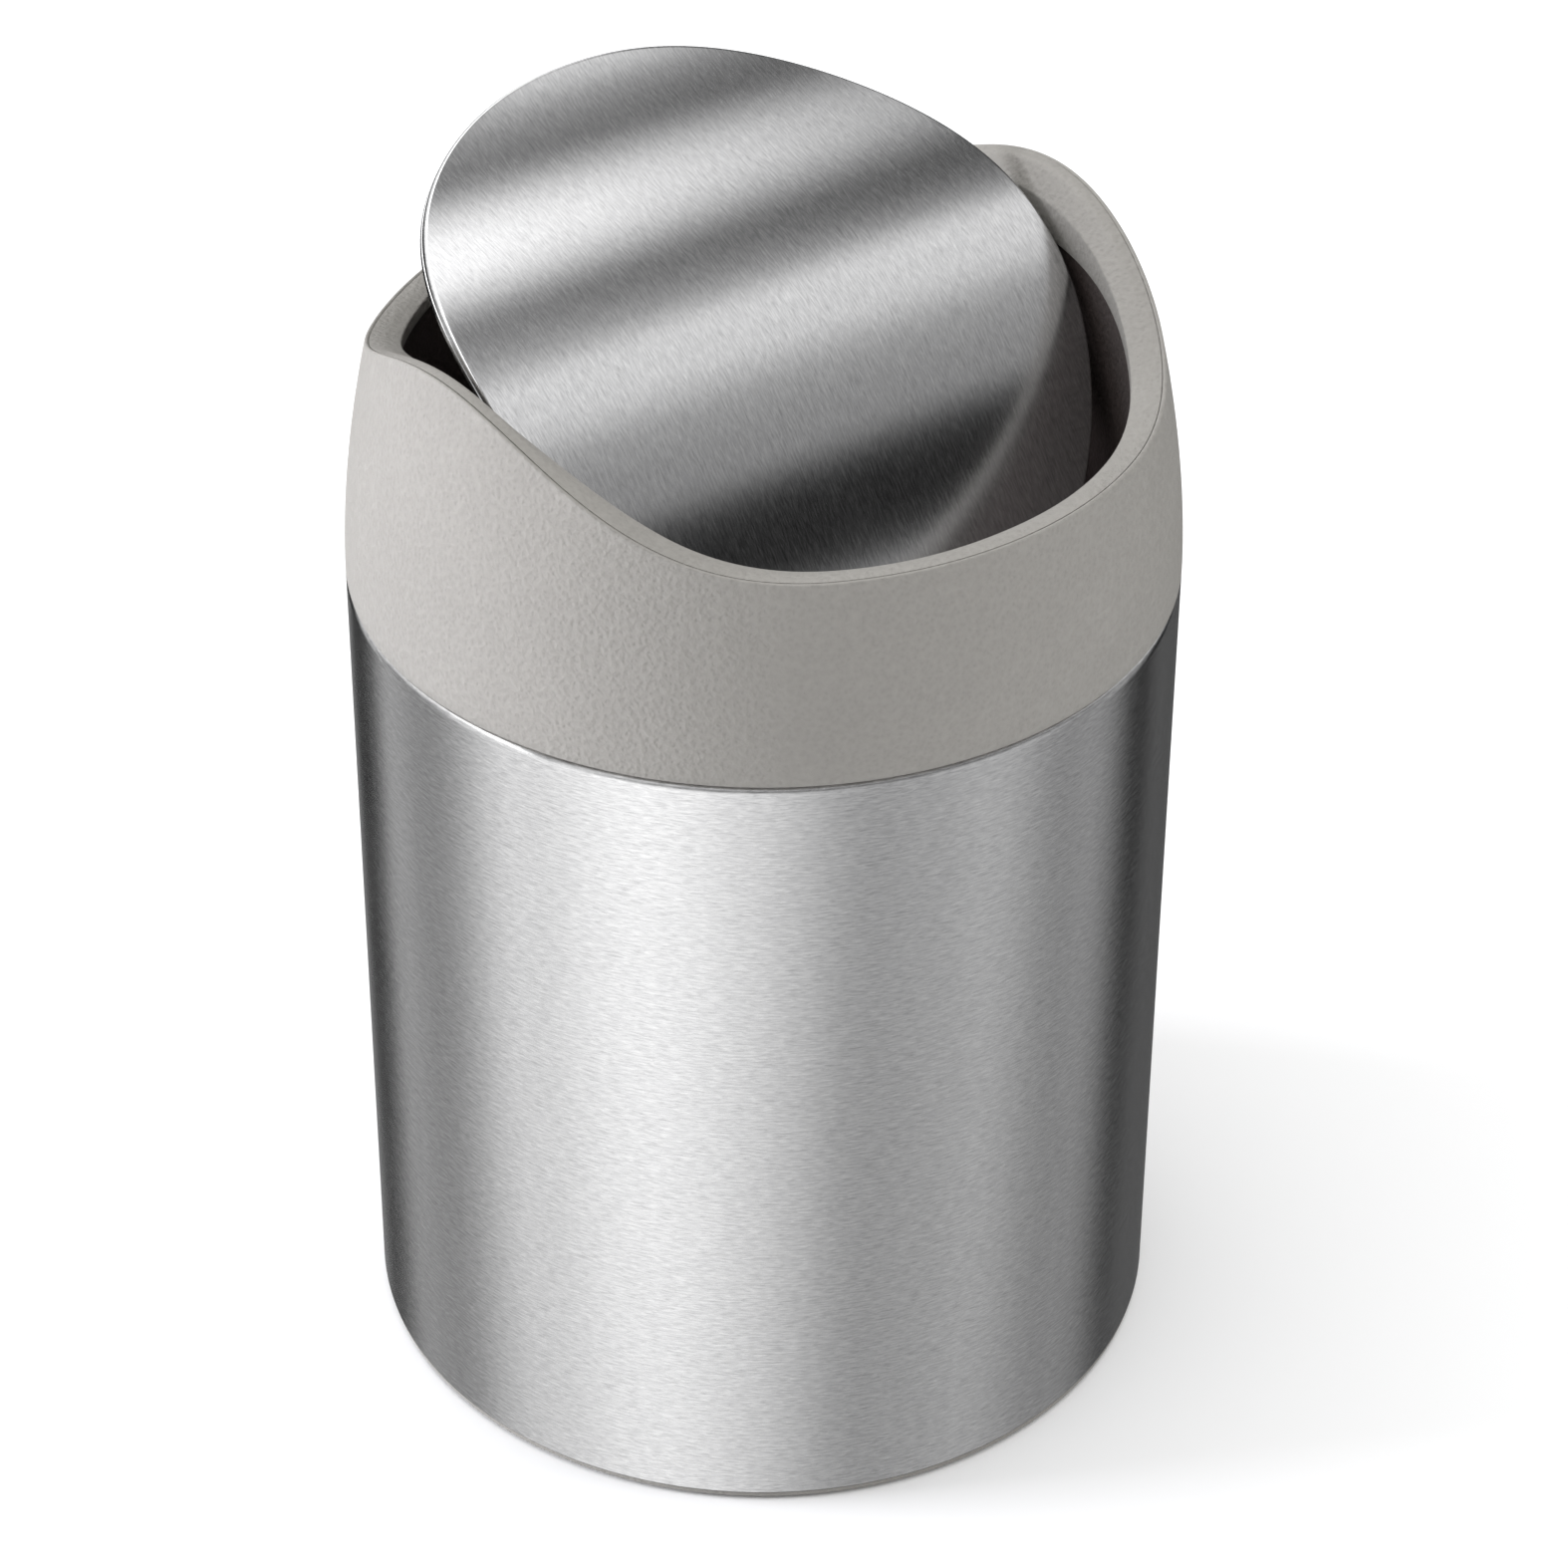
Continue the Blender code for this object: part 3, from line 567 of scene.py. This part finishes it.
def make_bezel(plastic):
    def section(angle):
        rim_radius, rim_top = rim_edge(angle)
        radius, top, bottom = opening_edge(angle)
        outer = rim_radius - LIP - PARTING
        band_end = rim_radius - BAND
        band_z = rim_top - BAND_DROP
        return rounded(
            [
                (outer, rim_top - REBATE + GAP, 0.1 * MM),
                (outer, rim_top - BAND_OUTER_DROP, 0.08 * MM),
                (band_end, band_z, 0.7 * MM),
                (radius, top, 0.3 * MM),
                (radius, bottom, 0.25 * MM),
                (radius + BEZEL_WALL, bottom, 0.25 * MM),
                (radius + BEZEL_WALL, top - BEZEL_WALL, 0.0),
                (band_end, band_z - BEZEL_WALL, 0.0),
            ],
            steps=6,
        )

    ring_piece("rim_trim", section, "lid_ring", plastic, ("rim_bezel",), sharp=60)


# ---------------------------------------------------------------- lid


def make_lid(steel):
    rows = 44

    def section(angle):
        edge = superellipse(angle, LID_X, LID_Y)
        inner = edge - LID_STEEL
        z = lid_height(edge * math.sin(angle))
        top_end = edge - EDGE_ROUND
        outline = []
        for row in range(rows + 1):
            radius = (top_end - EDGE_SUPPORT) * row / rows
            outline.append(Vector((radius, lid_height(radius * math.sin(angle)))))
        for step in range(EDGE_STEPS + 1):  # the rounded edge
            turn = 0.5 * math.pi * step / EDGE_STEPS
            radius = top_end + EDGE_ROUND * math.sin(turn)
            drop = EDGE_ROUND * (1 - math.cos(turn))
            outline.append(Vector((radius, lid_height(radius * math.sin(angle)) - drop)))
        hem = z - HEM_LINE
        low = z - LID_EDGE
        down_the_hem = [
            (edge, hem + HEM_BEVEL),
            (edge - HEM_GROOVE, hem),
            (edge - HEM_GROOVE, hem - HEM_OPENING),
            (edge, hem - HEM_OPENING - HEM_BEVEL),
            (edge, low + LID_CORNER),
            (edge - LID_CORNER, low),
            (inner + LID_CORNER, low),
            (inner, low + LID_CORNER),
        ]
        outline.extend(Vector(point) for point in down_the_hem)
        for row in range(rows, -1, -1):
            radius = inner * row / rows
            outline.append(Vector((radius, lid_height(radius * math.sin(angle)) - LID_STEEL)))
        return outline

    lid = ring_piece("lid_top", section, "swing_lid", steel, ("lid_skin",), sharp=50)
    layer = lid.data.uv_layers.new(name="plate")
    for corner in lid.data.loops:
        point = lid.data.vertices[corner.vertex_index].co
        layer.data[corner.index].uv = (point.x, point.y)
    opened = Matrix.Translation((0, 0, PIVOT_Z)) @ Matrix.Rotation(OPEN_ANGLE, 4, "X")
    lid.data.transform(opened)


# ---------------------------------------------------------------- stage


# Brightness of the studio round the can, by degrees anticlockwise from straight behind it: soft boxes and
# the dark gaps between them, which stand as upright bands in the can's wall.
STUDIO_ROUND = [
    (0, 0.16), (12, 0.26), (26, 0.30), (31, 0.04), (53, 0.01), (58, 0.46), (74, 0.31), (87, 0.28),
    (99, 0.50), (112, 0.84), (124, 0.88), (137, 1.06), (150, 1.17), (162, 1.13), (175, 0.97), (188, 0.78),
    (200, 0.58), (212, 0.42), (225, 0.42), (240, 0.46), (250, 0.51), (262, 0.41), (275, 0.28), (288, 0.35),
    (300, 0.17), (306, 0.01), (314, 0.01), (320, 0.13), (337, 0.10), (350, 0.12), (360, 0.16),
]
# Brightness of the studio overhead, by degrees from straight up towards the raised end of the lid.
STUDIO_ABOVE = [
    (-90, 0.80), (-75, 0.60), (-64, 0.25), (-58, 0.03), (-54, 0.00), (-51, 0.03), (-48, 0.32), (-40, 0.38),
    (-30, 0.52), (-20, 0.84), (-12, 0.92), (-3, 0.93), (4, 0.52), (14, 0.22), (20, 0.28), (24, 0.70),
    (28, 1.28), (36, 1.40), (50, 0.60), (90, 0.40),
]
BEHIND = math.radians(47)  # azimuth of straight behind the can, seen from the camera
STUDIO_STRENGTH = 2.0
STUDIO_FILL = 0.40
BACKDROP = (0.94, 0.94, 0.94)


def studio_round(nodes, x, y, z):
    """The upright bands, by the ray's compass direction; they pale and flatten towards the floor."""
    turn = nodes.math("DIVIDE", nodes.math("SUBTRACT", nodes.math("ARCTAN2", y, x), BEHIND), 2 * math.pi)
    turn = nodes.math("FRACT", nodes.math("ADD", turn, 1.0))
    levels = [(degrees / 360, level / STUDIO_STRENGTH) for degrees, level in STUDIO_ROUND]
    sides = nodes.ramp(turn, levels, "CARDINAL")
    gain = nodes.between(z, -0.75, -0.55, 0.85, 1.30)
    lift = nodes.between(z, -0.75, -0.55, 0.02, -0.02)
    return nodes.math("MAXIMUM", nodes.math("ADD", nodes.math("MULTIPLY", sides, gain), lift), 0.0)


def studio_above(nodes, x, y, z):
    """The bands overhead, by the ray's lean from straight up; towards +Y they are brighter at -X."""
    lean = nodes.between(nodes.math("ARCTAN2", y, z), -math.pi / 2, math.pi / 2)
    levels = [((degrees + 90) / 180, level / STUDIO_STRENGTH) for degrees, level in STUDIO_ABOVE]
    bands = nodes.ramp(lean, levels, "CARDINAL")
    left = nodes.between(x, 0.44, 0.60, 2.0, 0.05)
    rear = nodes.between(lean, 0.50, 0.58)
    share = nodes.math("ADD", nodes.math("MULTIPLY", rear, nodes.math("SUBTRACT", left, 1.0)), 1.0)
    return nodes.math("MULTIPLY", bands, share)


def make_world():
    """Shiny surfaces see the studio, matte ones an even fill, and the camera a plain backdrop."""
    world = bpy.data.worlds.new("studio")
    bpy.context.scene.world = world
    world.use_nodes = True
    nodes = Nodes(world.node_tree)
    ray = nodes.add("SeparateXYZ", {"Vector": nodes.add("TexCoord").outputs["Generated"]})
    x, y, z = (ray.outputs[axis] for axis in "XYZ")
    bands = studio_round(nodes, x, y, z)
    above = studio_above(nodes, x, y, z)
    upwards = {"Value": z, "From Min": -0.05, "From Max": 0.30}
    high = nodes.add("MapRange", upwards, interpolation_type="SMOOTHSTEP")
    step = nodes.math("MULTIPLY", nodes.math("SUBTRACT", above, bands), high)
    studio = nodes.add("Background", {"Color": nodes.math("ADD", bands, step), "Strength": STUDIO_STRENGTH})
    fill = nodes.add("Background", {"Color": (1.0, 1.0, 1.0, 1.0), "Strength": STUDIO_FILL})
    backdrop = nodes.add("Background", {"Color": (*BACKDROP, 1.0), "Strength": 1.0})
    path = nodes.add("LightPath")
    lit = nodes.add("MixShader", {0: path.outputs["Is Glossy Ray"], 1: fill, 2: studio})
    seen = nodes.add("MixShader", {0: path.outputs["Is Camera Ray"], 1: lit, 2: backdrop})
    nodes.add("OutputWorld", {"Surface": seen})
    world.cycles.sampling_method = "NONE"


def make_light(name, at, aim, size, power, colour=(1.0, 1.0, 1.0)):
    """An area light that shiny surfaces and the camera don't see; metres and watts."""
    light = bpy.data.lights.new(name, "AREA")
    light.color = colour
    light.shape = "RECTANGLE"
    light.size, light.size_y = size
    light.energy = power
    lamp = bpy.data.objects.new(name, light)
    bpy.context.scene.collection.objects.link(lamp)
    lamp.location = at
    lamp.rotation_mode = "QUATERNION"
    lamp.rotation_quaternion = (Vector(aim) - Vector(at)).to_track_quat("-Z", "Y")
    lamp.visible_glossy = False
    lamp.visible_camera = False


def make_floor():
    material, nodes = new_material("pale_floor")
    place = nodes.add("TexCoord").outputs["Object"]
    mottle = nodes.noise(place, 1 / 3, 2.0)
    colour = nodes.ramp(mottle, [(0.3, (0.93, 0.93, 0.93)), (0.7, (0.95, 0.95, 0.95))])
    shader_out(nodes, Base_Color=colour, Roughness=0.9, Specular_IOR_Level=0.1)
    build = bmesh.new()
    bmesh.ops.create_grid(build, x_segments=8, y_segments=8, size=FLOOR_HALF)
    mesh = bpy.data.meshes.new("floor")
    build.to_mesh(mesh)
    build.free()
    mesh.materials.append(material)
    floor = bpy.data.objects.new("floor", mesh)
    bpy.context.scene.collection.objects.link(floor)
    floor.visible_glossy = False


def make_camera():
    camera = bpy.data.objects.new("camera", bpy.data.cameras.new("camera"))
    bpy.context.scene.collection.objects.link(camera)
    camera.data.lens = CAMERA_LENS
    camera.data.sensor_width = CAMERA_SENSOR
    camera.location = CAMERA_AT
    looking = (CAMERA_AIM - CAMERA_AT).to_track_quat("-Z", "Y").to_matrix()
    camera.rotation_euler = (looking @ Matrix.Rotation(CAMERA_ROLL, 3, "Z")).to_euler()
    bpy.context.scene.camera = camera


def make_stage():
    make_world()
    make_light("key", (-1.6, 1.2, 0.47), (0, 0, 0.12), (0.8, 0.8), 60.0, (0.93, 0.94, 1.0))
    make_light("top", (0.1, 0.1, 3.0), (0, 0, 0.1), (4.0, 4.0), 90.0)
    make_light("edge", (0.6, -0.7, 0.4), (0, 0, 0.15), (0.25, 0.5), 2.0)
    make_floor()
    make_camera()
    bpy.context.scene.view_settings.view_transform = "Standard"


# ---------------------------------------------------------------- assembly


def main():
    steel_wall = brushed_steel("brushed_wall", turned=True, roughness=0.23, anisotropy=0.9)
    steel_lid = brushed_steel("brushed_lid", turned=False, roughness=0.17, anisotropy=0.7)
    grey = moulded_plastic("grey_moulding", (0.270, 0.259, 0.241), (0.315, 0.303, 0.282), 0.52)
    brown = moulded_plastic("brown_moulding", (0.040, 0.031, 0.029), (0.062, 0.049, 0.046), 0.5)
    zinc = plain_steel("zinc_plate")
    make_can(steel_wall, grey, rubber("foot_rubber"))
    make_bucket(brown)
    make_collar(grey)
    make_collar_bosses(grey)
    make_bezel(grey)
    make_lid(steel_lid)
    refine("pivot_ring", "pivot_frame", "lid_ring", brown)
    refine("lid_backing", "lid_underside", "swing_lid", grey)
    refine("weight_cover", "weight_trough", "swing_lid", grey)
    refine("counterweight", "weight_bar", "swing_lid", zinc)
    for side in ("left", "right"):
        refine(f"pivot_bush_{side}", f"bush_{side}", "lid_ring", brown)
        refine(f"pivot_pin_{side}", f"pin_{side}", "swing_lid", zinc)
        refine(f"weight_screw_{side}", f"trough_screw_{side}", "swing_lid", zinc)
    for number in range(1, 5):
        refine(f"collar_screw_{number}", f"ring_screw_{number}", "lid_ring", zinc)
    make_stage()


main()
